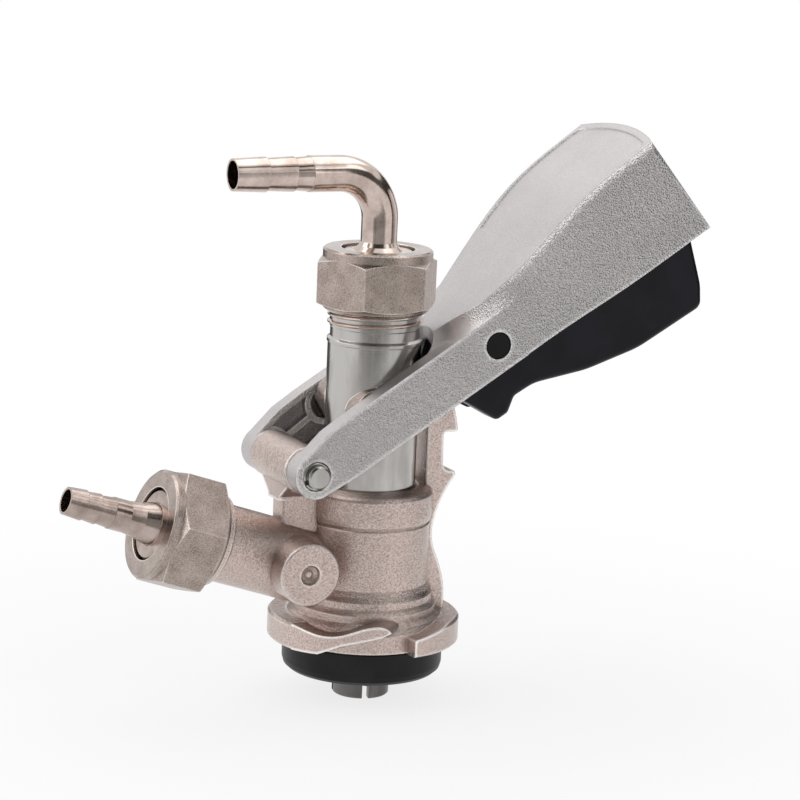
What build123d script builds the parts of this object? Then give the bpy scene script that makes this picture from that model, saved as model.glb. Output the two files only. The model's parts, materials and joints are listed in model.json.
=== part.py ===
from build123d import *
import os
from math import atan2, cos, degrees, radians, sin, sqrt

os.makedirs("parts", exist_ok=True)

# Keg coupler with a lever handle. The origin is on the probe axis at the underside of the body
# flange. +Z runs up the probe, +X points to the handle, and the gas inlet points to -X.

# ---- fits -----------------------------------------------------------------------------------
running = 0.05          # radial clearance of a shaft or slide in its bore
seated = 0.02           # clearance of a piece pressed or screwed into another
loose = 0.3             # clearance between castings that pass each other

# ---- body casting ---------------------------------------------------------------------------
flange_r = 19.6
flange_h = 4.6
barrel_r = 15.1
barrel_top = 29.2
collar_r = 15.5
collar_top = 36.8
collar_crown = 1.2
chamber_r = 13.0
chamber_floor = 6.0
chamber_top = 26.5
seal_recess_r = 16.4
seal_recess_h = 2.6

lug_r = 23.2
lug_h = 6.3
lug_end_h = 4.2
lug_start = 98.0
lug_span = 164.0
lug_rise_span = 30.0    # part of the span that climbs from the square end to the level run
lug_tail_span = 64.0    # part of the span that dips and then climbs to the tapered tip
lug_root_r = 17.0

# ---- body seal ------------------------------------------------------------------------------
seal_r = 19.5
seal_depth = 7.95
seal_hole_r = 12.2
seal_edge = 1.6

# ---- threads and union nuts (pipe thread of 5/8 inch) ---------------------------------------
thread_r = 11.46
thread_depth = 1.16
thread_len = 7.0        # length of thread inside a nut
nut_flats = 26.0
nut_h = 15.0
nut_web = 3.7
nut_hole_r = 8.8
nut_collar_r = 13.1
nut_collar_h = 2.3
nut_foot_r = 12.6
nut_foot_h = 1.1
washer_h = 1.5
washer_hole_r = 4.6
tail_flange_h = 2.7
tail_hub_r = 8.4
tail_hub_drop = 0.5

# ---- gas inlet ------------------------------------------------------------------------------
gas_slope = 18.0
gas_axis_z = 13.2
gas_stem_r = 9.35
gas_root = 6.0          # the inlet starts this far from the probe axis, inside the barrel
gas_ring_r = 10.9
gas_ring_h = 1.7
gas_nut_at = 43.7       # distance of the nut's inner end from the probe axis, along the inlet
gas_port_r = 8.0
gas_port_depth = 16.0
gas_passage_r = 4.0
gas_passage_start = 8.0
gas_seat_r = 8.6
gas_seat_h = 1.6
gas_tail_len = 22.0     # from the nut's outer face to the tip
gas_flare = 7.0
gas_tail_r = 3.8
gas_tail_bore = 2.7
boss_x = -21.4
boss_r = 7.5
boss_face_y = -15.7

# ---- hinge ----------------------------------------------------------------------------------
hinge_x = -21.1
hinge_z = 44.1
pin_r = 2.8
pin_out = 1.9
knuckle_r = 5.7
knuckle_gap = 0.3
web_half = 3.4
web_back = -23.6
web_front = -13.8
web_low = 12.0          # the web starts inside the casting at this height
web_flare_z = 36.4
snap_wire = 0.45

# ---- handle ---------------------------------------------------------------------------------
handle_slope = 32.0
handle_turn = 21.0      # turn from raised to latched
arm_face = 16.5
arm_wall = 2.2
arm_proud = 0.05        # the arms stand this little outside the paddle's side walls
arm_gap = 1.0           # between the probe tube and the arms
eye_depth = 5.5
eye_r = 5.4
eye_recess_r = 3.5
eye_recess = 1.0
arm_end = 60.0          # the arms run this far into the paddle's walls
arm_top = 7.5
arm_low = -6.0
flange_w = 1.5
pocket_end = 32.0
shell_wall = 2.4
paddle_end = 115.6      # middle of the paddle's end at the height of its ridge
paddle_low_end = 119.4
paddle_end_r = 50.0
paddle_corner_r = 4.5
paddle_half = 19.7
paddle_clear = 60.0     # half the size of the blocks that trim the paddle, larger than its section
ridge_top = 20.0
ridge_round = 2.0
fork_gap_r = 2.8        # between the probe tube and the root of the fork
panel_depth = 0.35
panel_start = 75.0
panel_low = 12.0        # the panel is cut only above this height over the arms' centre line
panel_inset = 2.2

# ---- latch post -----------------------------------------------------------------------------
post_half = 4.4
post_wall = 4.3
post_top = 59.5
hump_low = 50.2
hump_reach = 42.8       # distance of the hump's outer face from the hinge
hump_out = 4.3          # how far the hump stands out from the column
notch_floor = 41.4
tooth_out = 3.65
tooth_z = 39.9
rib_waist = 0.4         # how far the rib below the post stands out of the barrel where it is thinnest
rib_waist_z = 24.0

# ---- probe ----------------------------------------------------------------------------------
tube_r = 11.18
tube_low = 3.0
bead_r = 11.42
bead_z = 72.3
bead_h = 0.9
neck_r = 10.7
thread_start = 76.2
beer_nut_z = 79.9
bore_r = 3.5
ball_bore_r = 6.0
ball_bore_z = 70.0
ball_r = 4.6
ball_lift = 3.0
ball_seat_h = 2.5
ball_seat_hole = 3.4
probe_travel = 7.8
stud_x = -3.8
stud_z = 57.1
stud_r = 3.4
stud_boss_r = 6.0
stud_shank_r = 2.5
stud_depth = 4.0
slot_clear = 0.25
track_wall = 1.6

nose_r = 6.9
nose_low = -14.4
nose_slot = 1.6
nose_slot_h = 8.0
nose_slot_turn = 76.0
nose_bore = 4.2
nose_flange_r = 9.0
nose_flange_h = 2.4
nose_spigot_r = 6.3
nose_spigot_h = 7.0
probe_seal_r = 10.4
probe_seal_h = 4.4
ring_section = 1.3
gland_low = 2.8         # first rubber ring, above the chamber
gland_step = 4.6

# ---- beer elbow -----------------------------------------------------------------------------
elbow_r = 4.3
elbow_bore = 3.3
elbow_flare = 2.0
elbow_bend = 11.0
elbow_run_z = 112.8
elbow_reach = 37.9
barb_step = 0.15        # how far a barb's crest stays inside the plain shank
barb_depth = 0.5
elbow_barbs = (0.0, 8.0, 15.0, 19.0)
gas_barbs = (0.0, 4.3, 7.9, 11.5)

# ---- trigger --------------------------------------------------------------------------------
trigger_s = 54.4        # pivot, along the arm from the hinge
trigger_t = 0.4         # pivot, above the arm's centre line
trigger_pin_r = 3.3
trigger_half = 11.4
trigger_wall = 2.0
trigger_round = 1.8
trigger_boss_r = 4.7
trigger_slot = 4.9      # half width of the slot that the latch post passes through
slot_end = 50.5
cavity_start = 44.4
grip_front = 41.9
grip_end = 113.2
grip_low = -25.4
toe_low = -18.2
grip_ribs = (70.0, 84.0, 98.0)
grip_rib_w = 1.4
grip_rib_low = -24.0
grip_rib_top = -8.0
claw_r = 1.3
claw_clear = 0.35
claw_angle = 2.5        # direction of the claw from the hinge when the handle is latched
coil_wire = 0.5
coil_turns = 4
coil_pitch = 1.35
coil_leg = 5.2

# ---- places worked out from the sizes above -------------------------------------------------
stub_end = beer_nut_z + thread_len
thread_mid_r = thread_r - thread_depth / 2
arm_rib_face = tube_r + arm_gap
fork_root_r = tube_r + fork_gap_r
post_outer = hinge_x + hump_reach - hump_out
post_inner = post_outer - post_wall
tooth_x = post_outer + tooth_out
gas_direction = Vector(-cos(radians(gas_slope)), 0, sin(radians(gas_slope)))
gas_frame = Plane(origin=(0, 0, gas_axis_z), x_dir=(0, 1, 0), z_dir=gas_direction)
gas_stub_end = gas_nut_at + thread_len
arm_u = Vector(cos(radians(handle_slope)), 0, sin(radians(handle_slope)))
arm_frame = Plane(origin=(hinge_x, 0, hinge_z), x_dir=arm_u, z_dir=(0, -1, 0))
knuckle_half = arm_face - eye_depth - knuckle_gap
claw_reach = hump_reach + claw_clear + claw_r
claw_turn = claw_angle + handle_turn - handle_slope
claw_s = claw_reach * cos(radians(claw_turn))
claw_t = claw_reach * sin(radians(claw_turn))


def write(name, shape):
    export_step(shape, f"parts/{name}.step")


def turned(points):
    """Solid of revolution about Z from an outline of (radius, height) points."""
    outline = Plane.XZ * make_face(Polyline(*points, close=True))
    return revolve(outline, Axis.Z)


def ring(outer, inner, low, high):
    return turned([(inner, low), (outer, low), (outer, high), (inner, high)])


def rod(radius, low, high):
    return Pos(0, 0, low) * Cylinder(radius, high - low, align=(Align.CENTER, Align.CENTER, Align.MIN))


def cross_rod(radius, x, z, y_low, y_high):
    """Cylinder along Y."""
    return Pos(x, (y_low + y_high) / 2, z) * Rot(90, 0, 0) * Cylinder(radius, abs(y_high - y_low))


def arm_rod(radius, s, t, low, high):
    """Cylinder along Y, placed in the handle's own directions (low and high are toward -Y)."""
    return Pos(s, t, (low + high) / 2) * Cylinder(radius, high - low)


def arm_plate(outline, low, high):
    return Pos(0, 0, low) * extrude(outline, high - low)


def both_sides(solid):
    return [solid, mirror(solid, Plane.XZ)]


def in_handle(shape):
    return arm_frame.location * shape


# ---- union fittings -------------------------------------------------------------------------
def union_nut():
    """Hexagon nut with a turned collar, standing on Z = 0 with its web on top."""
    across = nut_flats / sqrt(3)
    hexagon = extrude(RegularPolygon(across, 6), nut_h)
    top_slope = (across - nut_collar_r) / 2
    envelope = turned([
        (0, 0), (nut_foot_r, 0), (nut_foot_r + 0.3, nut_foot_h), (across + 0.1, nut_foot_h + top_slope),
        (across + 0.1, nut_h - nut_collar_h - top_slope), (nut_collar_r, nut_h - nut_collar_h),
        (nut_collar_r, nut_h - 0.5), (nut_collar_r - 0.5, nut_h), (0, nut_h)])
    foot = turned([
        (0, 0), (nut_foot_r - 0.6, 0), (nut_foot_r, 0.6), (nut_foot_r, nut_foot_h), (0, nut_foot_h)])
    collar = rod(nut_collar_r, nut_h - nut_collar_h, nut_h)
    collar = chamfer(collar.edges().group_by(Axis.Z)[-1], 0.5)
    blank = (hexagon & envelope & Pos(0, 0, nut_foot_h) * rod(2 * across, 0, nut_h)) + foot + collar
    blank -= rod(thread_mid_r + running, -1, nut_h - nut_web)
    blank -= rod(nut_hole_r, 0, nut_h + 1)
    return blank - turned([(0, -0.1), (thread_r + 0.4, -0.1), (thread_mid_r, 1.0), (0, 1.0)])


def tail_collar(shank_r, shoulder):
    """Flange and hub that a union nut pulls down, with a flare up to the shank."""
    flange_r_in_nut = thread_r - 1.2
    hub_top = nut_h - tail_hub_drop - thread_len - washer_h
    return turned([
        (0, 0), (flange_r_in_nut, 0), (flange_r_in_nut, tail_flange_h - running),
        (tail_hub_r, tail_flange_h - running), (tail_hub_r, hub_top - 0.4), (tail_hub_r - 0.4, hub_top),
        (shank_r + 1.5, hub_top), (shank_r + 0.5, hub_top + shoulder / 2), (shank_r, hub_top + shoulder),
        (0, hub_top + shoulder)])


def barbed_end(shank_r, barbs, length):
    """Hose tail pointing to +Z from 0, its tip at length; barbs are distances back from the tip."""
    points = [(0, 0), (shank_r, 0)]
    for near, far in reversed(list(zip(barbs, barbs[1:]))):
        points.append((shank_r - barb_step, length - far))
        points.append((shank_r - barb_depth, length - near))
    points.append((0, length))
    return turned(points)


def face_washer():
    return ring(thread_r - 1.6, washer_hole_r, 0, washer_h)


# ---- body -----------------------------------------------------------------------------------
def body_barrel():
    outline = [
        (0, 0), (flange_r - 0.4, 0), (flange_r, 0.4), (flange_r, flange_h), (18.4, 6.2), (17.3, 7.2),
        (17.3, 8.9), (16.6, 9.7), (16.3, 10.3), (16.3, 11.8), (15.6, 12.9), (barrel_r, 14.4),
        (barrel_r, barrel_top - 0.3), (barrel_r - 0.25, barrel_top), (barrel_r, barrel_top + 0.4),
        (collar_r - 0.1, barrel_top + 0.9), (collar_r, barrel_top + 2.0), (collar_r, collar_top - 0.7),
        (collar_r - 0.25, collar_top - 0.1), (collar_r - 0.9, collar_top + 0.35),
        (tube_r + 1.0, collar_top + collar_crown), (0, collar_top + collar_crown)]
    return turned(outline)


def lug_sector(start, span, high, outer):
    sector = Rot(0, 0, start) * revolve(
        Plane.XZ * make_face(Polyline(
            (flange_r - 1, 0), (outer - 0.4, 0), (outer, 0.4), (outer, high - 0.6), (outer - 0.6, high),
            (flange_r - 1, high), close=True)),
        Axis.Z, revolution_arc=span)
    return sector


def lug_tail():
    """Side view of the lug's tail, cut from the ring: it dips, then climbs to a tapered tip."""
    half = lug_r * sin(radians(lug_tail_span / 2))
    top = Spline(
        (-half, lug_h), (-0.35 * half, 5.1), (0.05 * half, 5.6), (0.58 * half, 7.9), (0.85 * half, 8.0),
        (half, 6.6), tangents=((1, -0.1), (0.6, -1)))
    under = Polyline(
        (half, 6.6), (0.85 * half, 5.6), (0.1 * half, 3.2), (-0.4 * half, 0.4), (-half, 0), (-half, lug_h))
    middle = lug_start + lug_span - lug_tail_span / 2
    side = Rot(0, 0, middle + 90) * extrude(Plane.XZ * make_face(Curve() + [top, under]), 2 * lug_r)
    return side & ring(lug_r, lug_root_r, 0, 2 * lug_h)


def bayonet_lug():
    """Locking lug: a low square end, a level run, and a tail with a tapered tip."""
    level = lug_sector(lug_start, lug_span - lug_tail_span, lug_h, lug_r)
    rise = degrees(atan2(lug_h - lug_end_h, lug_r * radians(lug_rise_span)))
    side = 4 * lug_r
    block = Box(side, side, side)
    above = Rot(0, 0, lug_start) * Pos(0, 0, lug_end_h) * Rot(rise, 0, 0) * Pos(0, 0, side / 2) * block
    first_half = Rot(0, 0, lug_start) * Pos(side / 2, side / 2 - 1, 0) * block
    return (level - (above & first_half)) + lug_tail()


def latch_post():
    """Hooked post that the trigger's claw passes and then catches under, with the rib below it."""
    arc_z = (hump_low + 0.5, (hump_low + post_top) / 2 + 0.4, post_top - 2.6)
    face = [(hinge_x + sqrt(hump_reach ** 2 - (z - hinge_z) ** 2), z) for z in arc_z]
    outer = ThreePointArc(*face)
    crown_end = (post_inner + 0.72 * post_wall, post_top)
    crown = ThreePointArc(face[2], (face[2][0] - 1.2, post_top - 0.7), crown_end)
    inside = Polyline(
        crown_end, (post_inner + 0.9, post_top - 0.4), (post_inner, post_top - 1.6),
        (post_inner, collar_top), (barrel_r - 2.5, barrel_top), (barrel_r - 2.5, flange_h),
        (flange_r - 0.6, flange_h), (flange_r - 0.2, flange_h + 4))
    waist = (barrel_r + rib_waist, rib_waist_z)
    tip = (tooth_x - 0.4, tooth_z - 1.0)
    back = Spline((flange_r - 0.2, flange_h + 4), waist, tip, tangents=((0, 1), (0.6, 0.8)))
    hook = Polyline(
        tip, (tooth_x, tooth_z - 0.3), (tooth_x - 0.3, tooth_z + 0.5),
        (tooth_x - 1.6, tooth_z + 0.6), (post_outer + 0.9, notch_floor - 0.5),
        (post_outer + 0.2, notch_floor + 0.6), (post_outer, hump_low - 0.8),
        (post_outer + 0.5, hump_low), (face[0][0] - 0.4, hump_low), face[0])
    outline = make_face(Curve() + [outer, crown, inside, back, hook])
    post = extrude(Plane.XZ * outline, post_half, both=True)
    return fillet(post.edges().filter_by(Axis.Z).filter_by_position(Axis.Z, collar_top, post_top), 0.6)


def hinge_lug():
    """Knuckle across the arms, carried on a narrow web that flares out to it."""
    knuckle = cross_rod(knuckle_r, hinge_x, hinge_z, -knuckle_half, knuckle_half)
    knuckle = chamfer(knuckle.edges().filter_by(GeomType.CIRCLE), 0.4)
    web = Pos((web_back + web_front) / 2, 0, 0) * Box(
        web_front - web_back, 2 * web_half, hinge_z - web_low, align=(Align.CENTER, Align.CENTER, Align.MIN))
    web = Pos(0, 0, web_low) * web
    web = fillet(web.edges().filter_by(Axis.Z), 0.8)
    flare = make_face(Polyline(
        (-web_half, web_flare_z - 1), (-web_half, web_flare_z), (-knuckle_half + 0.6, hinge_z - 2.6),
        (-knuckle_half + 0.6, hinge_z), (knuckle_half - 0.6, hinge_z), (knuckle_half - 0.6, hinge_z - 2.6),
        (web_half, web_flare_z), (web_half, web_flare_z - 1), close=True))
    gusset = Pos(hinge_x - 3.6, 0, 0) * extrude(Plane.YZ * flare, 7.6)
    toe = make_face(Polyline(
        (web_front - 1, collar_top - 2.0), (web_front - 1, hinge_z - 3.2), (-11.9, collar_top + 0.4),
        (-11.9, collar_top - 2.0), close=True))
    return knuckle + web + gusset + extrude(Plane.XZ * toe, web_half - 0.4, both=True)


def gas_stem():
    """Cast inlet tube with its locating ring and threaded stub, drawn along its own axis."""
    return turned([
        (0, gas_root), (gas_stem_r, gas_root), (gas_stem_r, gas_nut_at - gas_ring_h - 0.9),
        (gas_ring_r, gas_nut_at - gas_ring_h), (gas_ring_r, gas_nut_at - 0.5),
        (gas_ring_r - 0.4, gas_nut_at - 0.2), (gas_ring_r - 0.9, gas_nut_at + 0.6),
        (thread_mid_r, gas_nut_at + 1.4), (thread_mid_r, gas_stub_end - 0.6),
        (thread_mid_r - 0.6, gas_stub_end),
        (0, gas_stub_end)])


def blank_boss():
    """Round pad on the side of the inlet, with a drill centre in its face."""
    z = gas_axis_z - boss_x * sin(radians(gas_slope)) / cos(radians(gas_slope))
    pad = cross_rod(boss_r, boss_x, z, boss_face_y, 0)
    pad = fillet(pad.edges().filter_by(GeomType.CIRCLE).sort_by(Axis.Y)[0], 0.7)
    dimple = turned([(0, -0.9), (0.6, -1.0), (1.2, -1.5), (2.1, -0.9), (2.5, 0.1), (0, 0.1)])
    return pad - Pos(boss_x, boss_face_y, z) * Rot(90, 0, 0) * dimple


def gland_grooves():
    return [ring(tube_r + running + 2 * ring_section, tube_r - 1, z - ring_section, z + ring_section)
            for z in gland_ring_heights()]


def gland_ring_heights():
    return (chamber_top + gland_low, chamber_top + gland_low + gland_step)


def body_casting():
    body = body_barrel() + gas_frame.location * gas_stem() + blank_boss()
    body += hinge_lug() + latch_post()
    for turn in (0, 180):
        body += Rot(0, 0, turn) * bayonet_lug()
    body -= rod(tube_r + running, chamber_floor, collar_top + 40)
    rim = collar_top + collar_crown
    body -= turned([(tube_r - 1, rim - 0.6), (tube_r + running, rim - 0.6), (tube_r + 0.8, rim + 0.2),
                    (tube_r - 1, rim + 0.2)])
    body -= turned([
        (0, -1), (seal_recess_r, -1), (seal_recess_r, seal_recess_h), (chamber_r, seal_recess_h + 1.6),
        (chamber_r, chamber_top - 1.8), (tube_r + running, chamber_top), (0, chamber_top)])
    for groove in gland_grooves():
        body -= groove
    port = rod(gas_passage_r, gas_passage_start, gas_stub_end)
    port += rod(gas_port_r, gas_stub_end - gas_port_depth, gas_stub_end + 1)
    port += rod(gas_seat_r, gas_stub_end - gas_seat_h, gas_stub_end + 1)
    body -= gas_frame.location * port
    return body - cross_rod(pin_r, hinge_x, hinge_z, -2 * knuckle_half, 2 * knuckle_half)


def body_seal():
    return turned([
        (seal_hole_r, -seal_depth + 1.2), (seal_hole_r + 1.0, -seal_depth + 0.4),
        (seal_r - seal_edge - 1.2, -seal_depth), (seal_r - seal_edge + 0.2, -seal_depth + 0.35),
        (seal_r - 0.45, -seal_depth + 1.2), (seal_r - 0.1, -seal_depth + 2.4), (seal_r, 0),
        (seal_recess_r - seated, 0), (seal_recess_r - seated, seal_recess_h - seated),
        (seal_hole_r + 1.6, seal_recess_h - seated), (seal_hole_r, 1.2)])


def gland_rings():
    """Two rubber rings in the body's gland, with a running gap to the probe."""
    section = ring_section - seated
    return [Pos(0, 0, z) * Torus(tube_r + running + section, section) for z in gland_ring_heights()]


def gas_check_valve():
    """Duckbill: a flange, a round skirt and two flat lips that close on each other."""
    flange = ring(gas_seat_r - seated, 3.4, gas_stub_end - gas_seat_h, gas_stub_end)
    skirt_top = gas_stub_end - gas_seat_h
    skirt = ring(gas_port_r - 0.8, 3.4, skirt_top - 3.0, skirt_top)
    wide = Pos(0, 0, skirt_top - 3.0) * Circle(gas_port_r - 0.8)
    lips = Pos(0, 0, skirt_top - 10.0) * Rectangle(2 * (gas_port_r - 1.2), 1.6)
    bill = loft([lips, wide])
    slit = Pos(0, 0, skirt_top - 3.0) * Circle(3.4)
    slit_end = Pos(0, 0, skirt_top - 10.1) * Rectangle(2 * (gas_port_r - 2.8), 0.2)
    return gas_frame.location * (flange + skirt + (bill - loft([slit_end, slit])))


def hinge_pin():
    end = arm_face + pin_out
    pin = cross_rod(pin_r, hinge_x, hinge_z, -end, end)
    pin = chamfer(pin.edges().filter_by(GeomType.CIRCLE), 0.5)
    for solid in both_sides(Pos(hinge_x, snap_ring_y(), hinge_z) * Rot(90, 0, 0) * ring(
            pin_r + 1, pin_r - snap_wire, -snap_wire - seated, snap_wire + seated)):
        pin -= solid
    return pin


def snap_ring_y():
    """Height of the snap rings along the pin: just outside the floor of the arm's recess."""
    return arm_face - eye_recess + snap_wire + 0.12


def snap_ring():
    """Open wire ring with two small eyes."""
    hoop = Torus(pin_r + snap_wire / 2, snap_wire - seated)
    gap = Pos(pin_r, 0, 0) * Box(2 * pin_r, 1.2, 4 * snap_wire)
    return Pos(hinge_x, snap_ring_y(), hinge_z) * Rot(90, 0, 0) * Rot(0, 0, 205) * (hoop - gap)


# ---- probe ----------------------------------------------------------------------------------
def stud_shape():
    """Guide stud: a shank in the tube, a saddle boss on its wall and the pin that rides in the arm."""
    root = tube_r - stud_depth
    shank = cross_rod(stud_shank_r, stud_x, stud_z, -root, -tube_r)
    boss = cross_rod(stud_boss_r, stud_x, stud_z, -root + 2, -arm_rib_face + loose)
    boss = fillet(boss.edges().filter_by(GeomType.CIRCLE).sort_by(Axis.Y)[0], 0.4)
    pin = cross_rod(stud_r, stud_x, stud_z, -root, -arm_face + arm_wall + loose)
    pin = chamfer(pin.edges().filter_by(GeomType.CIRCLE).sort_by(Axis.Y)[0], 0.3)
    return shank + ((boss + pin) - rod(tube_r, 0, thread_start))


def probe_tube():
    tube = turned([
        (0, tube_low), (tube_r - 0.6, tube_low), (tube_r, tube_low + 0.6), (tube_r, bead_z),
        (bead_r, bead_z + 0.1), (bead_r, bead_z + bead_h), (neck_r, bead_z + bead_h + 0.5),
        (neck_r, thread_start - 0.2), (thread_mid_r, thread_start), (thread_mid_r, stub_end - 0.6),
        (thread_mid_r - 0.6, stub_end), (0, stub_end)])
    tube -= rod(bore_r, tube_low, stub_end)
    tube -= rod(ball_bore_r, ball_bore_z, stub_end + 1)
    tube -= rod(nose_spigot_r + seated, tube_low - 1, tube_low + nose_spigot_h)
    root = tube_r - stud_depth
    for hole in both_sides(cross_rod(stud_shank_r, stud_x, stud_z, -root, -tube_r)):
        tube -= hole
    return tube


def probe_nose():
    """Screwed nose: a spigot in the tube, a flange over the seal, and four legs below."""
    low = tube_low - nose_flange_h
    nose = turned([
        (bore_r, nose_low + 6), (nose_bore, nose_low + 5), (nose_bore, nose_low), (nose_r - 0.4, nose_low),
        (nose_r, nose_low + 0.4), (nose_r, low - probe_seal_h - 0.6),
        (nose_r + 0.5, low - probe_seal_h - 0.3), (nose_r, low - probe_seal_h), (nose_r, low),
        (nose_flange_r, low), (nose_flange_r, tube_low), (nose_spigot_r, tube_low),
        (nose_spigot_r, tube_low + nose_spigot_h),
        (bore_r, tube_low + nose_spigot_h)])
    for turn in (nose_slot_turn, nose_slot_turn + 90):
        nose -= Rot(0, 0, turn) * Pos(0, 0, nose_low + nose_slot_h / 2 - 1) * Box(
            3 * nose_r, nose_slot, nose_slot_h + 2)
    return nose


def probe_seal():
    low = tube_low - nose_flange_h
    return turned([
        (nose_r + seated, low - probe_seal_h + 0.5), (nose_r + 1.0, low - probe_seal_h),
        (probe_seal_r - 0.9, low - probe_seal_h), (probe_seal_r, low - probe_seal_h + 0.9),
        (probe_seal_r, low - 0.6), (probe_seal_r - 0.6, low), (nose_r + seated, low)])


def ball_seat():
    return ring(ball_bore_r - seated, ball_seat_hole, ball_bore_z, ball_bore_z + ball_seat_h)


def ball_rest_z():
    rise = sqrt(ball_r ** 2 - ball_seat_hole ** 2)
    return ball_bore_z + ball_seat_h + rise + running


def ball_cage():
    """Star that stops the ball under the washer."""
    low = ball_rest_z() + ball_r + ball_lift + running
    cage = ring(ball_bore_r - seated, ball_bore_r - 1.2, low, stub_end)
    for turn in (0, 60, 120):
        cage += Rot(0, 0, turn) * Pos(0, 0, low + 0.8) * Box(2 * ball_bore_r - 1.2, 1.0, 1.6)
    return cage


def beer_elbow():
    base = stub_end + washer_h
    collar = Pos(0, 0, base) * tail_collar(elbow_r, elbow_flare)
    start = base + tail_flange_h
    bend_z = elbow_run_z - elbow_bend
    barb_start = elbow_reach - elbow_barbs[-1]
    middle = elbow_bend * sqrt(0.5)
    path = Line((0, 0, start), (0, 0, bend_z)) + ThreePointArc(
        (0, 0, bend_z), (middle - elbow_bend, 0, bend_z + middle), (-elbow_bend, 0, elbow_run_z)) + Line(
        (-elbow_bend, 0, elbow_run_z), (-barb_start, 0, elbow_run_z))
    pipe = sweep(Pos(0, 0, start) * Circle(elbow_r), path)
    tail = Pos(-barb_start, 0, elbow_run_z) * Rot(0, -90, 0) * barbed_end(
        elbow_r, elbow_barbs, elbow_reach - barb_start)
    hollow = rod(elbow_bore, base - 1, start)
    hollow += sweep(Pos(0, 0, start) * Circle(elbow_bore), path)
    hollow += Pos(-barb_start, 0, elbow_run_z) * Rot(0, -90, 0) * rod(elbow_bore, 0, elbow_reach)
    return collar + pipe + tail - hollow


def gas_tail_piece():
    collar = tail_collar(gas_tail_r, gas_flare)
    length = gas_tail_len + nut_h - thread_len - washer_h
    plain = length - gas_barbs[-1]
    tail = rod(gas_tail_r, tail_flange_h, plain)
    end = Pos(0, 0, plain) * barbed_end(gas_tail_r, gas_barbs, gas_barbs[-1])
    piece = collar + tail + end - rod(gas_tail_bore, -1, length + 1)
    return gas_frame.location * Pos(0, 0, gas_stub_end + washer_h) * piece


# ---- handle ---------------------------------------------------------------------------------
def paddle_rows():
    """Stations along the handle: distance, half width and height of the ridge, and low edge."""
    return (
        (33.5, 2.4, 7.5, arm_low), (46.0, 4.2, 7.9, arm_low), (58.5, 12.1, 10.3, arm_low),
        (71.0, 17.0, 13.9, arm_low), (83.5, 18.7, 17.8, arm_low - 0.5), (96.0, 19.2, 20.2, arm_low - 0.8),
        (108.5, 19.3, 21.1, arm_low - 0.7), (121.0, 19.3, 21.8, arm_low - 0.5))


def paddle_section(s, half, top, low, inset):
    side = arm_face - arm_proud - inset
    crease = arm_top - arm_proud - inset
    side_at_crease = side + max(0, half - arm_face) * (crease - low) / (top - low)
    ridge = max(half - inset, 1.4)
    points = [(-side, low), (-side_at_crease, crease), (-ridge, top - inset), (ridge, top - inset),
              (side_at_crease, crease), (side, low)]
    face = make_face(Polyline(*points, close=True))
    face = fillet(face.vertices().sort_by(Axis.Y)[-2:], min(ridge_round, 0.9 * ridge))
    return Plane(origin=(s, 0, 0), x_dir=(0, 0, -1), z_dir=(1, 0, 0)) * face


def paddle_solid(inset):
    """Loft through the stations; inset makes the hollow, which is open below."""
    sections = []
    for s, half, top, low in paddle_rows():
        bottom = low - 1 if inset else low + arm_proud
        sections.append(paddle_section(s, half, top, bottom, inset))
    return loft(sections)


def paddle_end_cut(inset):
    """Space beyond the arched, slightly leaning end of the paddle."""
    end = paddle_end - inset
    lean = degrees(atan2(paddle_low_end - paddle_end, ridge_top - arm_low))
    half = paddle_half - inset
    bulge = paddle_end_r - sqrt(paddle_end_r ** 2 - half ** 2)
    plan = make_face(Curve() + [
        Polyline((-bulge, -half), (-paddle_low_end, -half), (-paddle_low_end, half), (-bulge, half)),
        ThreePointArc((-bulge, half), (0, 0), (-bulge, -half))])
    plan = fillet(plan.vertices().sort_by(Axis.X)[-2:], paddle_corner_r - inset / 2)
    keep = Pos(end, ridge_top, 0) * Rot(0, 0, lean) * extrude(Plane.XZ * plan, paddle_clear, both=True)
    return Pos(end, 0, 0) * Box(paddle_clear, 1.5 * paddle_clear, paddle_clear) - keep


def arm_outline(inset):
    """Side view of an arm: the eye at the hinge and a straight bar up to the paddle."""
    top, low = arm_top - inset, arm_low + inset
    eye = Circle(eye_r - inset)
    bar = make_face(Polyline(
        (-1.6, eye_r - inset - 0.3), (7.0, top - 0.3), (14.0, top), (46.0, top), (arm_end, top - 1.0),
        (arm_end, low), (8.0, low), (0.5, -eye_r + inset + 0.02), (0, 0), (-1.6, 0), close=True))
    return eye + bar


def slot_points():
    """Centre of the stud in the handle's directions as the handle goes down and the probe follows."""
    places = []
    for part in (0, 0.5, 1):
        turn = radians(handle_slope - part * handle_turn)
        x = stud_x - hinge_x
        z = stud_z - hinge_z - part * probe_travel
        places.append((x * cos(turn) + z * sin(turn), z * cos(turn) - x * sin(turn)))
    return places


def cam_track(radius, low, high):
    """Slot shape that a stud of the given radius sweeps in the arm."""
    first, middle, last = slot_points()
    path = ThreePointArc(first, middle, last)
    outline = trace(path, 2 * radius) + Pos(*first) * Circle(radius) + Pos(*last) * Circle(radius)
    return arm_plate(outline, low, high)


def arm_pocket():
    """Hollow on the inner side of the arm, between its flanges, eye, rib and cam track."""
    low, high = arm_rib_face - 1, arm_face - arm_wall
    pocket = arm_plate(arm_outline(flange_w), low, high) - Pos(pocket_end + 30, 0, 0) * Box(60, 60, 60)
    pocket -= arm_rod(eye_r + flange_w / 2, 0, 0, low, high)
    pocket -= cam_track(stud_r + slot_clear + track_wall, low, high)
    last = slot_points()[-1]
    middle = (low + high) / 2
    rib = Pos(last[0] / 2, last[1] / 2 - 0.2, middle) * Rot(0, 0, 4) * Box(last[0], track_wall, high - low)
    far_rib = Pos(29.0, 1.2, middle) * Box(9.0, track_wall, high - low)
    return pocket - (rib + far_rib)


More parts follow.
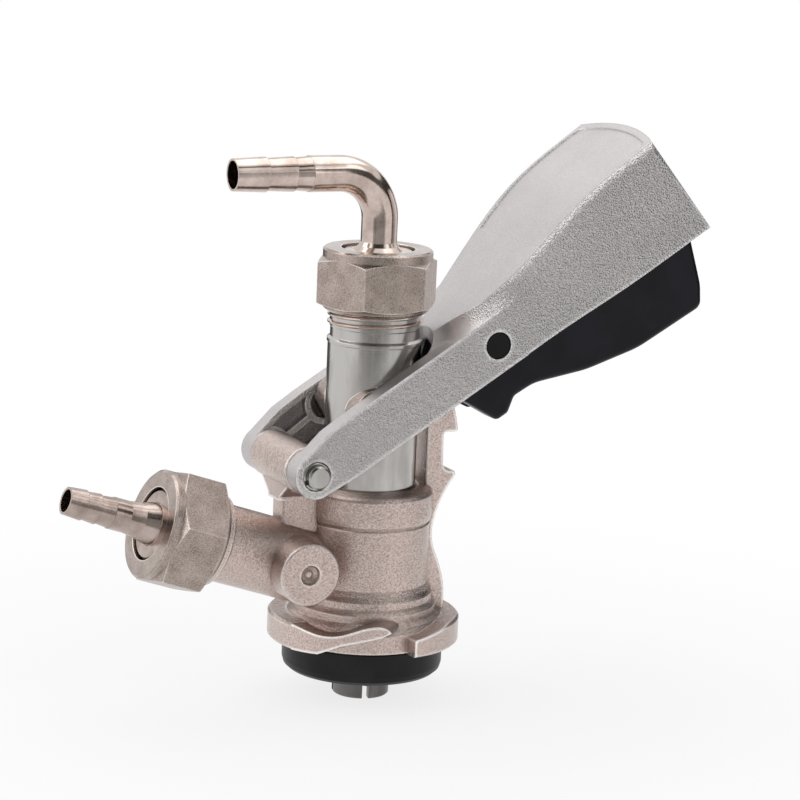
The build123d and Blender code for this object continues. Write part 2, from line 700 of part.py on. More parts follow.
def fork_gap():
    """Room between the arms for the probe, cut round at the root of the fork."""
    tall = 3 * arm_top
    return (Pos(0, 0, hinge_z + tall) * Cylinder(fork_root_r, 2 * tall)) & (
        Pos(0, 0, hinge_z + tall) * Box(4 * fork_root_r, 2 * arm_rib_face, 2 * tall))


def handle_arm(hollow):
    """One arm of the fork: a plate with an eye, flanges and the cam track on its inner side."""
    arm = arm_plate(arm_outline(0), arm_rib_face, arm_face) - hollow
    arm += arm_plate(Circle(eye_r), arm_face - eye_depth, arm_face)
    arm -= arm_pocket()
    return arm - cam_track(stud_r + slot_clear, arm_rib_face - 1, arm_face - arm_wall)


def handle_casting():
    outer = paddle_solid(0) - paddle_end_cut(0)
    hollow = paddle_solid(shell_wall) - paddle_end_cut(shell_wall)
    arm = handle_arm(hollow)
    handle = (outer - hollow) + arm + mirror(arm, Plane.XY)
    handle -= panel_cut(outer)
    handle -= arm_rod(pin_r + running, 0, 0, -2 * arm_face, 2 * arm_face)
    for face in (-arm_face, arm_face):
        handle -= arm_rod(eye_recess_r, 0, 0, face - eye_recess, face + eye_recess)
    handle -= arm_rod(trigger_pin_r, trigger_s, trigger_t, -2 * arm_face, 2 * arm_face)
    return in_handle(handle) - fork_gap()


def panel_cut(outer):
    """Shallow panel sunk in the top of the paddle, its end arched like the paddle's."""
    end = paddle_end - panel_inset
    half = paddle_half - panel_inset - ridge_round / 2
    bulge = paddle_end_r - sqrt(paddle_end_r ** 2 - half ** 2)
    plan = make_face(Curve() + [
        ThreePointArc((end - bulge, -half), (end, 0), (end - bulge, half)),
        Polyline((end - bulge, half), (panel_start + 14, half), (panel_start, half - 1.6),
                 (panel_start, 1.6 - half), (panel_start + 14, -half), (end - bulge, -half))])
    plan = fillet(plan.vertices().sort_by(Axis.X)[-2:], paddle_corner_r - panel_inset / 2)
    prism = Pos(0, panel_low, 0) * extrude(Plane.XZ * plan, -ridge_top)
    return (prism & outer) - Pos(0, -panel_depth, 0) * outer


# ---- trigger --------------------------------------------------------------------------------
def trigger_outline():
    """Side view of the trigger: claw toe, finger hollow, belly, tail and top.

    Each corner has a place along the arm, a height over its centre line and a rounding.
    """
    corners = (
        (grip_front, -4.0, 1.5), (grip_front, -8.5, 2.0), (47.2, toe_low, 1.6), (50.6, toe_low, 1.8),
        (54.0, -15.6, 2.0), (60.0, -15.9, 12), (73.5, -21.2, 25), (88.0, grip_low + 0.8, 25),
        (grip_end - 5.4, grip_low, 2.6), (grip_end - 2.8, grip_low + 5.0, 12), (grip_end, -9.4, 0),
        (grip_end - 1.6, -4.4, 0), (92.0, 1.0, 0), (68.0, 3.6, 0), (58.0, 5.2, 0), (50.0, 3.6, 0))
    outline = make_face(Polyline(*[(s, t) for s, t, _ in corners], close=True))
    for s, t, radius in corners:
        if radius:
            corner = outline.vertices().sort_by_distance((s, t))[0]
            outline = fillet(corner, radius)
    return outline


def trigger_grip():
    """Moulded grip: open on top like a tray, with two cheeks that pass either side of the post."""
    outline = trigger_outline()
    grip = extrude(outline, trigger_half, both=True)
    rim = [e for e in grip.edges() if abs(abs(e.center().Z) - trigger_half) < 0.01]
    grip = fillet([e for e in rim if e.center().Y < -4], trigger_round)
    cavity_line = offset(outline, -trigger_wall)
    cavity = extrude(cavity_line, trigger_half - trigger_wall, both=True)
    cavity &= Pos(cavity_start + paddle_low_end / 2, 0, 0) * Box(paddle_low_end, paddle_low_end, 60)
    opening = extrude(make_face(Polyline(
        (49.5, 0), (58.0, -3.0), (108.5, -8.0), (110.0, 12.0), (49.5, 12.0), close=True)),
        trigger_half - trigger_wall, both=True)
    slot = Pos(slot_end / 2, 0, 0) * Box(slot_end, paddle_low_end, 2 * trigger_slot)
    grip -= cavity + opening + slot
    low, high = trigger_half - trigger_wall, arm_face - shell_wall - loose / 2
    boss = arm_rod(trigger_boss_r, trigger_s, trigger_t, low, high)
    grip += boss
    grip += mirror(boss, Plane.XY)
    inside = extrude(offset(outline, -0.2), trigger_half - trigger_wall, both=True)
    for s in grip_ribs:
        rib = Pos(s, (grip_rib_low + grip_rib_top) / 2, 0) * Box(
            grip_rib_w, grip_rib_top - grip_rib_low, 2 * trigger_half)
        grip += rib & inside
    grip -= arm_rod(trigger_pin_r + running, trigger_s, trigger_t, -arm_face, arm_face)
    grip -= arm_rod(claw_r, claw_s, claw_t, -trigger_half + 1.0, trigger_half - 1.0)
    return in_handle(grip)


def claw_pin():
    """Steel pin across the cheeks that hooks under the post."""
    half = trigger_half - 1.0 - seated
    return in_handle(arm_rod(claw_r - seated / 2, claw_s, claw_t, -half, half))


def trigger_pin():
    half = arm_face - 0.15
    pin = arm_rod(trigger_pin_r, trigger_s, trigger_t, -half, half)
    return in_handle(chamfer(pin.edges().filter_by(GeomType.CIRCLE), 0.3))


def trigger_spring():
    """Torsion spring round the trigger pin, with a straight leg at its first coil."""
    radius = trigger_pin_r + coil_wire + loose
    height = coil_turns * coil_pitch
    path = Helix(coil_pitch, height, radius)
    section = Plane(origin=path @ 0, z_dir=path % 0) * Circle(coil_wire)
    coil = sweep(section, path, is_frenet=True)
    start = path @ 0
    leg = Pos(start.X, start.Y + coil_leg / 2, start.Z) * Rot(90, 0, 0) * Cylinder(coil_wire, coil_leg)
    return in_handle(Pos(trigger_s, trigger_t, -height / 2) * (coil + leg))


write("body_casting", body_casting())
write("body_seal", body_seal())
write("gland_rings", Compound(gland_rings()))
write("gas_check_valve", gas_check_valve())
write("gas_washer", gas_frame.location * Pos(0, 0, gas_stub_end) * face_washer())
write("gas_nut", gas_frame.location * Pos(0, 0, gas_nut_at) * Rot(0, 0, 12) * union_nut())
write("gas_tail_piece", gas_tail_piece())
write("hinge_pin", hinge_pin())
write("hinge_snap_rings", Compound(both_sides(snap_ring())))
write("probe_tube", probe_tube())
write("guide_studs", Compound(both_sides(stud_shape())))
write("probe_nose", probe_nose())
write("probe_seal", probe_seal())
write("ball_seat", ball_seat())
write("check_ball", Pos(0, 0, ball_rest_z()) * Sphere(ball_r))
write("ball_cage", ball_cage())
write("beer_washer", Pos(0, 0, stub_end) * face_washer())
write("beer_nut", Pos(0, 0, beer_nut_z) * Rot(0, 0, -6) * union_nut())
write("beer_elbow", beer_elbow())
write("handle", handle_casting())
write("trigger_grip", trigger_grip())
write("claw_pin", claw_pin())
write("trigger_pin", trigger_pin())
write("trigger_spring", trigger_spring())
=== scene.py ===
import json
from math import cos, pi, radians, sin

import bpy
from mathutils import Matrix, Vector


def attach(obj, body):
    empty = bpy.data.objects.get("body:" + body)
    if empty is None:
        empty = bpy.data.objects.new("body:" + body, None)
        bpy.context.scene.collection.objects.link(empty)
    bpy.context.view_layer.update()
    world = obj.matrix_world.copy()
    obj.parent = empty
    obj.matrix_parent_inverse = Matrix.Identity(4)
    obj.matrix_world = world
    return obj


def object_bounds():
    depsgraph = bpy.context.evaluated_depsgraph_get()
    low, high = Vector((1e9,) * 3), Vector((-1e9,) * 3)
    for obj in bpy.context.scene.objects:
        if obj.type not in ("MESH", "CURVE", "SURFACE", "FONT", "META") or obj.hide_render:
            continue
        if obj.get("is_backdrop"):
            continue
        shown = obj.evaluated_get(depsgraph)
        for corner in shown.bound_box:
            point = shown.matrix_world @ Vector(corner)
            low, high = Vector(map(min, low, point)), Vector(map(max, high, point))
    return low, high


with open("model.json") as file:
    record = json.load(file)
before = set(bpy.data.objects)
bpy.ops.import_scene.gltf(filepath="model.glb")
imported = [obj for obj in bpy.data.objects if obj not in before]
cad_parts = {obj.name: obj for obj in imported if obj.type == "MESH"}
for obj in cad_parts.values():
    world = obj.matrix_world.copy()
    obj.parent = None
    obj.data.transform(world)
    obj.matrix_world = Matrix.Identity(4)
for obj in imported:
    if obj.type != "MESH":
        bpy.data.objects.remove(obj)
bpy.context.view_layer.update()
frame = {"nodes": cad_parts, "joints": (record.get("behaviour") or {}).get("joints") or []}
nodes = frame["nodes"]
joints = {joint["name"]: joint for joint in frame["joints"]}
mm = 0.001
print("frame loaded:", len(nodes), "nodes")


# a socket that can be used in plain arithmetic
class Wire:
    def __init__(self, tree, socket):
        self.tree = tree
        self.socket = socket

    def math(self, operation, *others):
        values = dict(enumerate((self,) + others))
        return self.tree.node("ShaderNodeMath", {"operation": operation}, values)

    def __add__(self, other):
        return self.math("ADD", other)

    def __sub__(self, other):
        return self.math("SUBTRACT", other)

    def __rsub__(self, other):
        return self.tree.node("ShaderNodeMath", {"operation": "SUBTRACT"}, {0: other, 1: self})

    def __mul__(self, other):
        return self.math("MULTIPLY", other)

    __radd__ = __add__
    __rmul__ = __mul__


# the nodes of one material or world
class NodeTree:
    def __init__(self, owner):
        owner.use_nodes = True
        self.tree = owner.node_tree
        self.tree.nodes.clear()

    def node(self, kind, settings=None, values=None, out=0):
        made = self.tree.nodes.new(kind)
        for key, value in (settings or {}).items():
            setattr(made, key, value)
        for key, value in (values or {}).items():
            if isinstance(value, Wire):
                self.tree.links.new(value.socket, made.inputs[key])
            else:
                made.inputs[key].default_value = value
        return Wire(self, made.outputs[out]) if made.outputs else None

    # 1 where the camera, a reflection or glass looks at the background, 0 where it lights
    def seen(self):
        kinds = ("Is Camera Ray", "Is Glossy Ray", "Is Transmission Ray")
        camera, glossy, clear = [self.node("ShaderNodeLightPath", out=kind) for kind in kinds]
        return camera.math("MAXIMUM", glossy).math("MAXIMUM", clear)


# one material, built from nodes
class Finish(NodeTree):
    def __init__(self, name):
        self.material = bpy.data.materials.new(name)
        super().__init__(self.material)
        self.place = self.node("ShaderNodeTexCoord", out="Object")
        self.facing = self.node("ShaderNodeTexCoord", out="Normal")

    def noise(self, size, detail=3.0, rough=0.5, stretch=(1, 1, 1), place=None):
        place = self.node("ShaderNodeMapping", values={"Vector": place or self.place, "Scale": stretch})
        return self.node("ShaderNodeTexNoise", values={
            "Vector": place, "Scale": 1 / size, "Detail": detail, "Roughness": rough})

    def band(self, value, low, high):
        return self.node("ShaderNodeMapRange", {"interpolation_type": "SMOOTHSTEP"}, {
            0: value, 1: low, 2: high, 3: 0.0, 4: 1.0})

    def tint(self, mask, low, high):
        return self.node("ShaderNodeMix", {"data_type": "RGBA"}, {0: mask, 6: low, 7: high}, out=2)

    # two patterns in one, with the share of the first
    def blend(self, first, second, share):
        return first * share + second * (1 - share)

    # a pattern turned into a change up and down, by half the amount each way
    def swing(self, pattern, amount):
        return amount * (pattern - 0.5)

    def vector(self, operation, *parts, out="Vector"):
        return self.node("ShaderNodeVectorMath", {"operation": operation}, dict(enumerate(parts)), out)

    # distance from an axis and height along it, for lathe marks
    def along(self, origin, axis):
        offset = self.vector("SUBTRACT", self.place, origin)
        height = self.vector("DOT_PRODUCT", offset, axis, out="Value")
        radius = self.vector("LENGTH", self.vector("CROSS_PRODUCT", offset, axis), out="Value")
        return self.node("ShaderNodeCombineXYZ", values={0: radius, 1: height, 2: 0.0})

    def bump(self, height, depth, under, strength=1.0):
        return self.node("ShaderNodeBump", values={
            "Height": height, "Distance": depth, "Strength": strength, "Normal": under})

    # low in a crease and on a surface that another piece is close to; it places the painted shade
    def nearby(self, reach):
        return self.node("ShaderNodeAmbientOcclusion", {"samples": 8, "only_local": False}, {
            "Distance": reach}, "AO")

    # high on an outer edge, where the solid under the surface is thin; it places the painted highlights
    def rim(self, reach, low, high):
        under = self.node("ShaderNodeAmbientOcclusion", {"samples": 8, "inside": True, "only_local": True}, {
            "Distance": reach}, "AO")
        return self.band(1 - under, low, high)

    # painted shade in the creases and where parts are close, painted highlights along the outer edges
    def paintShadeAndHighlight(self, plain, cfg):
        crease = self.band(self.nearby(cfg["creaseReach"]), *cfg["creaseBand"])
        creased = self.tint(crease, cfg["crease"], plain)
        return self.tint(self.rim(cfg["highlightReach"], *cfg["highlightBand"]), creased, cfg["wornToneAndEdgeHighlight"])

    # a normal with its edges rounded off
    def soft(self, radius):
        return self.node("ShaderNodeBevel", {"samples": 6}, {"Radius": radius})

    def shade(self, color, roughness, normal, metallic=1.0, gloss=0.5):
        surface = self.node("ShaderNodeBsdfPrincipled", values={
            "Base Color": color, "Roughness": roughness, "Metallic": metallic, "Normal": normal,
            "Specular IOR Level": gloss})
        self.node("ShaderNodeOutputMaterial", values={"Surface": surface})
        return self.material


# lathe marks run round these axes
gasHinge = joints["gas_nut_turn"]
gasAxis = Vector(gasHinge["axis"]).normalized()
gasOrigin = Vector(gasHinge["pos_m"])
upAxis = (0.0, 0.0, 1.0)
probeOrigin = (0.0, 0.0, 0.0)

# in these dictionaries a Band is where a pattern starts and ends, and a Reach how far a mask looks
castNickel = {
    "bright": (0.64, 0.53, 0.49, 1), "dull": (0.38, 0.30, 0.265, 1), "cloud": 9 * mm, "cloudShare": 0.1,
    "grain": 0.38 * mm, "grainDepth": 0.17 * mm, "grainBand": (0.30, 0.62),
    "speckSize": 0.6, "speckBand": (0.60, 0.72), "speckShine": 0.1,
    # the colour for the creases is painted shade there and where parts are close; the light colour for the
    # outer edges is a painted highlight
    "crease": (0.27, 0.205, 0.175, 1), "creaseReach": 1.6 * mm, "creaseBand": (0.35, 0.90),
    "wornToneAndEdgeHighlight": (0.95, 0.90, 0.87, 1), "highlightReach": 0.9 * mm, "highlightBand": (0.05, 0.35),
    "roughness": 0.13, "roughnessSpread": 0.12, "edge": 0.45 * mm}


def makeCastNickel(name, cfg):
    f = Finish(name)
    grain = f.noise(cfg["grain"], detail=4.0, rough=0.62)
    cloud = f.noise(cfg["cloud"])
    speck = f.band(f.noise(cfg["grain"] * cfg["speckSize"], detail=1.0, rough=0.4), *cfg["speckBand"])
    mask = f.band(f.blend(cloud, grain, cfg["cloudShare"]), *cfg["grainBand"])
    # painted crease shade and painted edge highlights laid over the grain's tone
    color = f.paintShadeAndHighlight(f.tint(mask, cfg["dull"], cfg["bright"]), cfg)
    rough = cfg["roughness"] + cfg["roughnessSpread"] * (1 - grain) - cfg["speckShine"] * speck
    return f.shade(color, rough, f.bump(grain, cfg["grainDepth"], f.soft(cfg["edge"])))


turnedNickel = {
    "bright": (0.54, 0.46, 0.42, 1), "dull": (0.20, 0.155, 0.13, 1), "cloud": 4 * mm, "cloudShare": 0.25,
    "line": 0.12 * mm, "lineDepth": 0.03 * mm, "turnedBand": (0.05, 0.2),
    "streak": 0.26 * mm, "streakBand": (0.30, 0.70), "streakRoughness": 0.08, "flatGrain": 1.6,
    # the colour for the creases is painted shade there and where parts are close; the light colour for the
    # outer edges is a painted highlight
    "crease": (0.20, 0.165, 0.145, 1), "creaseReach": 1.6 * mm, "creaseBand": (0.4, 0.95),
    "wornToneAndEdgeHighlight": (0.80, 0.73, 0.68, 1), "highlightReach": 0.5 * mm, "highlightBand": (0.10, 0.40),
    "flatRoughness": 0.28, "turnedRoughness": 0.17, "edge": 0.2 * mm}


def makeTurnedNickel(name, cfg, origin, axis):
    f = Finish(name)
    lean = f.vector("DOT_PRODUCT", f.facing, axis, out="Value").math("ABSOLUTE")
    flats = 1 - f.band(lean, *cfg["turnedBand"])     # hexagon faces, which aren't turned
    lathe = f.noise(cfg["line"], detail=2.0, rough=0.6, place=f.along(origin, axis))
    cloud = f.noise(cfg["cloud"], rough=0.55)
    streak = f.noise(cfg["streak"], rough=0.7)
    mask = f.band(f.blend(cloud, streak, cfg["cloudShare"]), *cfg["streakBand"])
    # painted crease shade and painted edge highlights laid over the streaks' tone
    color = f.paintShadeAndHighlight(f.tint(mask, cfg["dull"], cfg["bright"]), cfg)
    spread = cfg["flatRoughness"] - cfg["turnedRoughness"]
    rough = cfg["turnedRoughness"] + flats * spread + f.swing(streak, cfg["streakRoughness"])
    height = lathe * (1 - flats) + cfg["flatGrain"] * streak * flats
    return f.shade(color, rough, f.bump(height, cfg["lineDepth"], f.soft(cfg["edge"])))


polishedNickel = {
    "bright": (0.68, 0.575, 0.52, 1), "dull": (0.42, 0.335, 0.29, 1), "roughness": 0.10, "spread": 0.08,
    "cloud": 6 * mm, "cloudShare": 0.5, "cloudBand": (0.25, 0.75),
    "draw": 0.35 * mm, "drawDepth": 0.015 * mm, "drawStrength": 0.6, "edge": 0.15 * mm}
# a darker copy of the polished nickel: painted shade for the gas tail, which reflects more of the white
# surroundings than the elbow
shadedTailNickel = dict(polishedNickel, bright=(0.54, 0.45, 0.41, 1), dull=(0.30, 0.235, 0.205, 1), roughness=0.16)


def makePolishedNickel(name, cfg):
    f = Finish(name)
    cloud = f.noise(cfg["cloud"], detail=4.0, rough=0.6)
    draw = f.noise(cfg["draw"], detail=2.0, rough=0.6)
    color = f.tint(f.band(cloud, *cfg["cloudBand"]), cfg["dull"], cfg["bright"])
    height = f.blend(cloud, draw, cfg["cloudShare"])
    normal = f.bump(height, cfg["drawDepth"], f.soft(cfg["edge"]), cfg["drawStrength"])
    return f.shade(color, cfg["roughness"] + cfg["spread"] * cloud, normal)


stainless = {
    "bright": (0.50, 0.485, 0.465, 1), "dull": (0.36, 0.345, 0.33, 1), "roughness": 0.14, "spread": 0.10,
    "cloud": 7 * mm, "cloudStretch": (1, 1, 0.35), "cloudBand": (0.35, 0.65),
    "line": 0.16 * mm, "lineDepth": 0.006 * mm, "edge": 0.2 * mm}
# a darker copy of the stainless: painted shade for the nose, which sits in the shade of the seal
shadedNoseSteel = dict(stainless, bright=(0.20, 0.195, 0.19, 1), dull=(0.12, 0.115, 0.11, 1), roughness=0.28)


def makeStainless(name, cfg):
    f = Finish(name)
    lathe = f.noise(cfg["line"], detail=2.0, rough=0.6, place=f.along(probeOrigin, upAxis))
    cloud = f.noise(cfg["cloud"], rough=0.55, stretch=cfg["cloudStretch"])
    color = f.tint(f.band(cloud, *cfg["cloudBand"]), cfg["dull"], cfg["bright"])
    normal = f.bump(lathe, cfg["lineDepth"], f.soft(cfg["edge"]))
    return f.shade(color, cfg["roughness"] + cfg["spread"] * cloud, normal)


# hammered on its sides, satin on top
handleCast = {
    "bright": (0.59, 0.565, 0.56, 1), "dull": (0.43, 0.41, 0.41, 1), "cloud": 12 * mm, "cloudShare": 0.2,
    "sideBand": (0.12, 0.45), "sideShade": 1.06, "sideRoughness": 0.30, "topRoughness": 0.38,
    "hammer": 0.42 * mm, "hammerDepth": 0.55 * mm, "hammerBand": (0.3, 0.7), "pitShade": 0.20,
    "satin": 0.3 * mm, "satinDepth": 0.02 * mm, "satinBand": (0.30, 0.70), "satinRoughness": 0.1,
    # the light colour for the ridge and the outer edges of the sides is a painted highlight
    "wornToneAndEdgeHighlight": (0.82, 0.80, 0.79, 1), "highlightReach": 1.2 * mm, "highlightBand": (0.04, 0.30), "edge": 0.5 * mm}


def makeHandleCast(name, cfg):
    f = Finish(name)
    across = f.node("ShaderNodeSeparateXYZ", values={0: f.facing}, out="Y")
    side = f.band(across.math("ABSOLUTE"), *cfg["sideBand"])
    hammer = f.noise(cfg["hammer"], detail=2.0, rough=0.45)
    satin = f.noise(cfg["satin"], rough=0.6)
    cloud = f.noise(cfg["cloud"])
    mask = f.band(f.blend(cloud, satin, cfg["cloudShare"]), *cfg["satinBand"])
    pits = f.swing(f.band(hammer, *cfg["hammerBand"]), cfg["pitShade"])
    dim = 1 - side * (1 - cfg["sideShade"] - pits)
    plain = f.node("ShaderNodeVectorMath", {"operation": "SCALE"}, {
        0: f.tint(mask, cfg["dull"], cfg["bright"]), "Scale": dim})
    # painted highlight along the ridge and the outer edges of the sides
    color = f.tint(side * f.rim(cfg["highlightReach"], *cfg["highlightBand"]), plain, cfg["wornToneAndEdgeHighlight"])
    spread = cfg["sideRoughness"] - cfg["topRoughness"]
    rough = cfg["topRoughness"] + side * spread + f.swing(satin, cfg["satinRoughness"])
    fineNormal = f.bump(satin, cfg["satinDepth"], f.soft(cfg["edge"]))
    return f.shade(color, rough, f.bump(hammer * side, cfg["hammerDepth"], fineNormal))


blackPlastic = {
    "color": (0.006, 0.006, 0.009, 1), "wornToneAndEdgeHighlight": (0.011, 0.011, 0.017, 1), "roughness": 0.34, "gloss": 0.16,
    "cloud": 10 * mm, "cloudBand": (0.35, 0.65), "grain": 0.3 * mm, "grainDepth": 0.015 * mm,
    "grainRoughness": 0.1, "edge": 0.4 * mm}
blackRubber = dict(
    blackPlastic, color=(0.010, 0.010, 0.010, 1), wornToneAndEdgeHighlight=(0.017, 0.017, 0.017, 1),
    roughness=0.40, gloss=0.2, edge=0.3 * mm)
blackPin = dict(
    blackPlastic, color=(0.006, 0.006, 0.007, 1), wornToneAndEdgeHighlight=(0.008, 0.008, 0.009, 1),
    roughness=0.45, gloss=0.15, edge=0.2 * mm)
greyWasher = dict(
    blackPlastic, color=(0.16, 0.16, 0.165, 1), wornToneAndEdgeHighlight=(0.22, 0.22, 0.225, 1),
    roughness=0.6, gloss=0.4, edge=0.2 * mm)
whitePlastic = dict(
    blackPlastic, color=(0.75, 0.75, 0.72, 1), wornToneAndEdgeHighlight=(0.68, 0.68, 0.65, 1),
    roughness=0.5, gloss=0.5, edge=0.2 * mm)


def makeMoulded(name, cfg):
    f = Finish(name)
    fine = f.noise(cfg["grain"], rough=0.6)
    cloud = f.noise(cfg["cloud"])
    color = f.tint(f.band(cloud, *cfg["cloudBand"]), cfg["color"], cfg["wornToneAndEdgeHighlight"])
    rough = cfg["roughness"] + f.swing(fine, cfg["grainRoughness"])
    normal = f.bump(fine, cfg["grainDepth"], f.soft(cfg["edge"]))
    return f.shade(color, rough, normal, metallic=0.0, gloss=cfg["gloss"])


def dress(material, *names):
    for name in names:
        for slot in nodes[name].material_slots:
            slot.material = material


dress(makeCastNickel("castNickel", castNickel), "body_casting")
dress(makeTurnedNickel("beerNutNickel", turnedNickel, probeOrigin, upAxis), "beer_nut", "guide_studs")
dress(makeTurnedNickel("gasNutNickel", turnedNickel, gasOrigin, gasAxis), "gas_nut")
dress(makePolishedNickel("polishedNickel", polishedNickel), "beer_elbow")
dress(makePolishedNickel("shadedTailNickel", shadedTailNickel), "gas_tail_piece")
dress(makeStainless("stainless", stainless), "probe_tube", "check_ball")
dress(makeStainless("shadedNoseSteel", shadedNoseSteel), "probe_nose")
dress(makeHandleCast("handleCast", handleCast), "handle")
dress(makeStainless("pinSteel", stainless), "hinge_pin", "hinge_snap_rings", "claw_pin", "trigger_spring")
dress(makeMoulded("blackPlastic", blackPlastic), "trigger_grip")
dress(makeMoulded("blackRubber", blackRubber), "body_seal", "gland_rings", "probe_seal", "gas_check_valve")
dress(makeMoulded("blackPin", blackPin), "trigger_pin")
dress(makeMoulded("greyWasher", greyWasher), "gas_washer", "beer_washer", "ball_seat")
dress(makeMoulded("whitePlastic", whitePlastic), "ball_cage")
print("finishes made")


# the ridge on the stub under the beer nut
thread = {
    "crest": 11.46 * mm, "root": 10.25 * mm, "pitch": 1.814 * mm, "crestWidth": 0.35 * mm, "rootShare": 0.49,
    "low": 76.3 * mm, "high": 81.5 * mm, "stepsPerTurn": 72, "runOut": 0.3}


def screwThread(cfg):
    turns = (cfg["high"] - cfg["low"]) / cfg["pitch"]
    steps = int(turns * cfg["stepsPerTurn"])
    halfRoot = cfg["rootShare"] * cfg["pitch"]
    halfCrest = cfg["crestWidth"] / 2
    corners = 4
    points = []
    faces = []
    for i in range(steps + 1):
        angle = 2 * pi * turns * i / steps
        height = cfg["low"] + (cfg["high"] - cfg["low"]) * i / steps
        grow = min(1.0, angle / (2 * pi * cfg["runOut"]))     # the ridge rises out of the stub
        crest = cfg["root"] + (cfg["crest"] - cfg["root"]) * grow
        profile = ((cfg["root"], -halfRoot), (crest, -halfCrest), (crest, halfCrest), (cfg["root"], halfRoot))
        points += [(r * cos(angle), r * sin(angle), height + lift) for r, lift in profile]
        if i:
            now, before = corners * i, corners * (i - 1)
            for j in range(corners):
                after = (j + 1) % corners
                faces.append((before + j, now + j, now + after, before + after))
    last = corners * steps
    faces += [(0, 1, 2, 3), (last + 3, last + 2, last + 1, last)]
    mesh = bpy.data.meshes.new("beerThread")
    mesh.from_pydata(points, [], faces)
    mesh.update()
    return bpy.data.objects.new("beerThread", mesh)


def addPiece(piece, material, body):
    bpy.context.scene.collection.objects.link(piece)
    piece.data.materials.append(material)
    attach(piece, body)


addPiece(screwThread(thread), makePolishedNickel("threadSteel", polishedNickel), "probe")
print("small pieces made")


white = (1, 1, 1, 1)
studio = {
    "floorSize": 12.0, "floorColor": (0.90, 0.90, 0.90, 1), "floorWhite": 0.80, "shadowReach": (0.04, 0.22),
    "mottleColor": (0.88, 0.88, 0.88, 1), "mottle": 0.4, "mottleShare": 0.01, "worldLight": 0.36,
    "aim": (0, 0, 0.06)}


# white where it is looked at, with the shadow kept near the object
def makeFloor(cfg):
    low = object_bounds()[0][2]
    bpy.ops.mesh.primitive_plane_add(size=cfg["floorSize"], location=(0, 0, low))
    floor = bpy.context.object
    floor.name = "floor"
    f = Finish("floorPale")
    mottle = f.noise(cfg["mottle"], detail=2.0) * cfg["mottleShare"]
    distance = f.vector("LENGTH", f.place, out="Value")
    glowing = cfg["floorWhite"] + (1 - cfg["floorWhite"]) * f.band(distance, *cfg["shadowReach"])
    matt = f.node("ShaderNodeBsdfDiffuse", values={
        "Color": f.tint(mottle, cfg["floorColor"], cfg["mottleColor"])})
    glow = f.node("ShaderNodeEmission", values={"Color": white, "Strength": 1.0})
    mixed = f.node("ShaderNodeMixShader", values={0: f.seen() * glowing, 1: matt, 2: glow})
    f.node("ShaderNodeOutputMaterial", values={"Surface": mixed})
    floor.data.materials.append(f.material)
    floor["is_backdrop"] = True


def makeWorld(cfg):
    world = bpy.data.worlds.new("studioWorld")
    bpy.context.scene.world = world
    sky = NodeTree(world)
    strength = sky.node("ShaderNodeMapRange", values={0: sky.seen(), 3: cfg["worldLight"], 4: 1.0})
    light = sky.node("ShaderNodeBackground", values={"Color": white, "Strength": strength})
    sky.node("ShaderNodeOutputWorld", values={"Surface": light})


# a direction from the object, with azimuth 0 in front
def bearing(azimuth, elevation):
    a, e = radians(azimuth), radians(elevation)
    return Vector((sin(a) * cos(e), -cos(a) * cos(e), sin(e)))


# where a lamp or card stands, and its turn towards the object
def stand(azimuth, elevation, distance):
    target = Vector(studio["aim"])
    place = target + distance * bearing(azimuth, elevation)
    return place, (target - place).to_track_quat("-Z", "Y").to_euler()


lamps = {
    "keyLamp": {"azimuth": -105, "elevation": 35, "distance": 1.1, "size": (1.1, 1.1), "power": 5.0},
    "fillLamp": {"azimuth": 40, "elevation": 32, "distance": 1.2, "size": (0.8, 0.9), "power": 2.4},
    "topLamp": {"azimuth": 150, "elevation": 70, "distance": 1.0, "size": (1.3, 0.9), "power": 4.0}}


def addLamp(name, cfg):
    lamp = bpy.data.lights.new(name, "AREA")
    lamp.shape = "RECTANGLE"
    lamp.size, lamp.size_y = cfg["size"]
    lamp.energy = cfg["power"]
    holder = bpy.data.objects.new(name, lamp)
    holder.location, holder.rotation_euler = stand(cfg["azimuth"], cfg["elevation"], cfg["distance"])
    bpy.context.scene.collection.objects.link(holder)


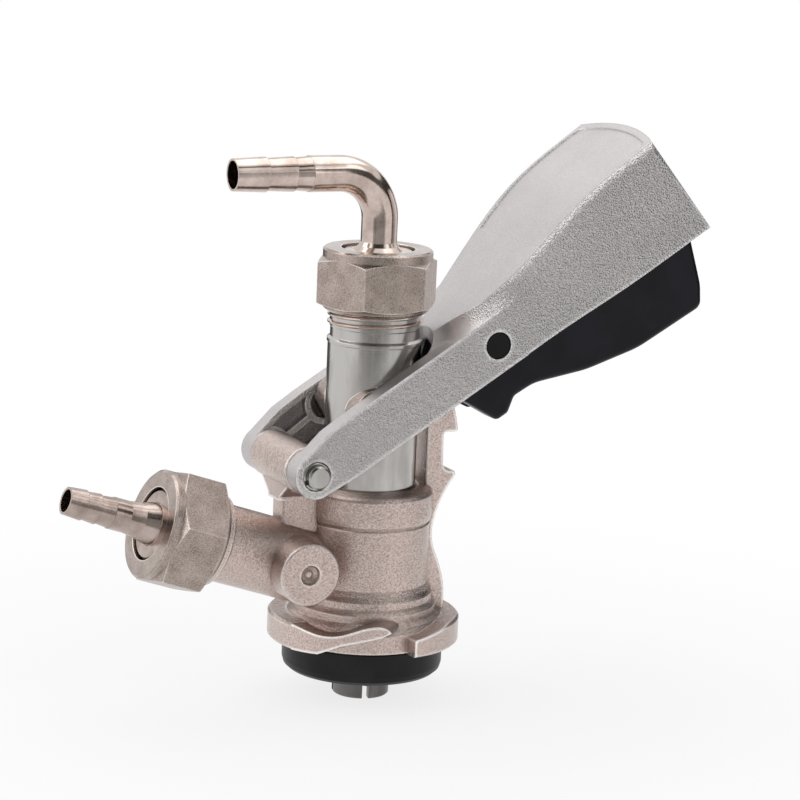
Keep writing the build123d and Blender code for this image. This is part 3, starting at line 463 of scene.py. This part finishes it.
cards = {
    "frontCard": {"azimuth": -25, "elevation": 10, "distance": 0.36, "size": (0.58, 0.30), "level": 0.36},
    "highCard": {"azimuth": -26, "elevation": 53, "distance": 1.2, "size": (2.0, 0.9), "level": 0.05},
    "ridgeCard": {"azimuth": 42, "elevation": 26, "distance": 0.42, "size": (0.26, 0.20), "level": 0.10},
    "rightCard": {"azimuth": 92, "elevation": 10, "distance": 0.40, "size": (0.50, 0.30), "level": 0.05},
    "backRightCard": {"azimuth": 142, "elevation": -4, "distance": 0.35, "size": (0.40, 0.10), "level": 0.06},
    "leftCard": {"azimuth": -175, "elevation": -4, "distance": 0.35, "size": (0.16, 0.10), "level": 0.08}}
cardTone = {
    "streak": 0.07, "stretch": (1, 1, 0.25), "streakBand": (0.35, 0.65),
    "dark": (0.3, 0.29, 0.28), "light": (1.8, 1.8, 1.78)}


# a card that only reflections see, for the dark and grey bands in the metal
def addCard(name, cfg, tone):
    place, turn = stand(cfg["azimuth"], cfg["elevation"], cfg["distance"])
    bpy.ops.mesh.primitive_plane_add(size=1, location=place, rotation=turn)
    card = bpy.context.object
    card.name = name
    card.scale = (*cfg["size"], 1)
    f = Finish(name + "Tone")
    streak = f.band(f.noise(tone["streak"], detail=2.0, stretch=tone["stretch"]), *tone["streakBand"])
    dark, light = [(*(part * cfg["level"] for part in tone[key]), 1) for key in ("dark", "light")]
    glow = f.node("ShaderNodeEmission", values={"Color": f.tint(streak, dark, light), "Strength": 1.0})
    f.node("ShaderNodeOutputMaterial", values={"Surface": glow})
    card.data.materials.append(f.material)
    for way in ("camera", "diffuse", "shadow", "transmission", "volume_scatter"):
        setattr(card, "visible_" + way, False)
    card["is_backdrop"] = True


camera = {
    "azimuth": -26.0, "elevation": 11.41, "roll": 2.52, "lens": 135.0, "sensor": 36.0,
    "distance": 717.9 * mm, "height": 58.34 * mm, "side": 6.69 * mm}


def makeCamera(cfg):
    a, roll = radians(cfg["azimuth"]), radians(cfg["roll"])
    back = bearing(cfg["azimuth"], cfg["elevation"])
    level = Vector((cos(a), sin(a), 0))
    rise = back.cross(level)
    right = level * cos(roll) + rise * sin(roll)
    up = rise * cos(roll) - level * sin(roll)
    target = Vector((0, 0, cfg["height"])) + level * cfg["side"]
    lens = bpy.data.cameras.new("camera")
    lens.lens = cfg["lens"]
    lens.sensor_width = cfg["sensor"]
    holder = bpy.data.objects.new("camera", lens)
    turn = Matrix((right, up, back)).transposed().to_4x4()
    holder.matrix_world = Matrix.Translation(target + back * cfg["distance"]) @ turn
    bpy.context.scene.collection.objects.link(holder)
    bpy.context.scene.camera = holder


bpy.context.scene.view_settings.view_transform = "Standard"
makeFloor(studio)
makeWorld(studio)
for name, cfg in lamps.items():
    addLamp(name, cfg)
for name, cfg in cards.items():
    addCard(name, cfg, cardTone)
makeCamera(camera)
print("studio made")
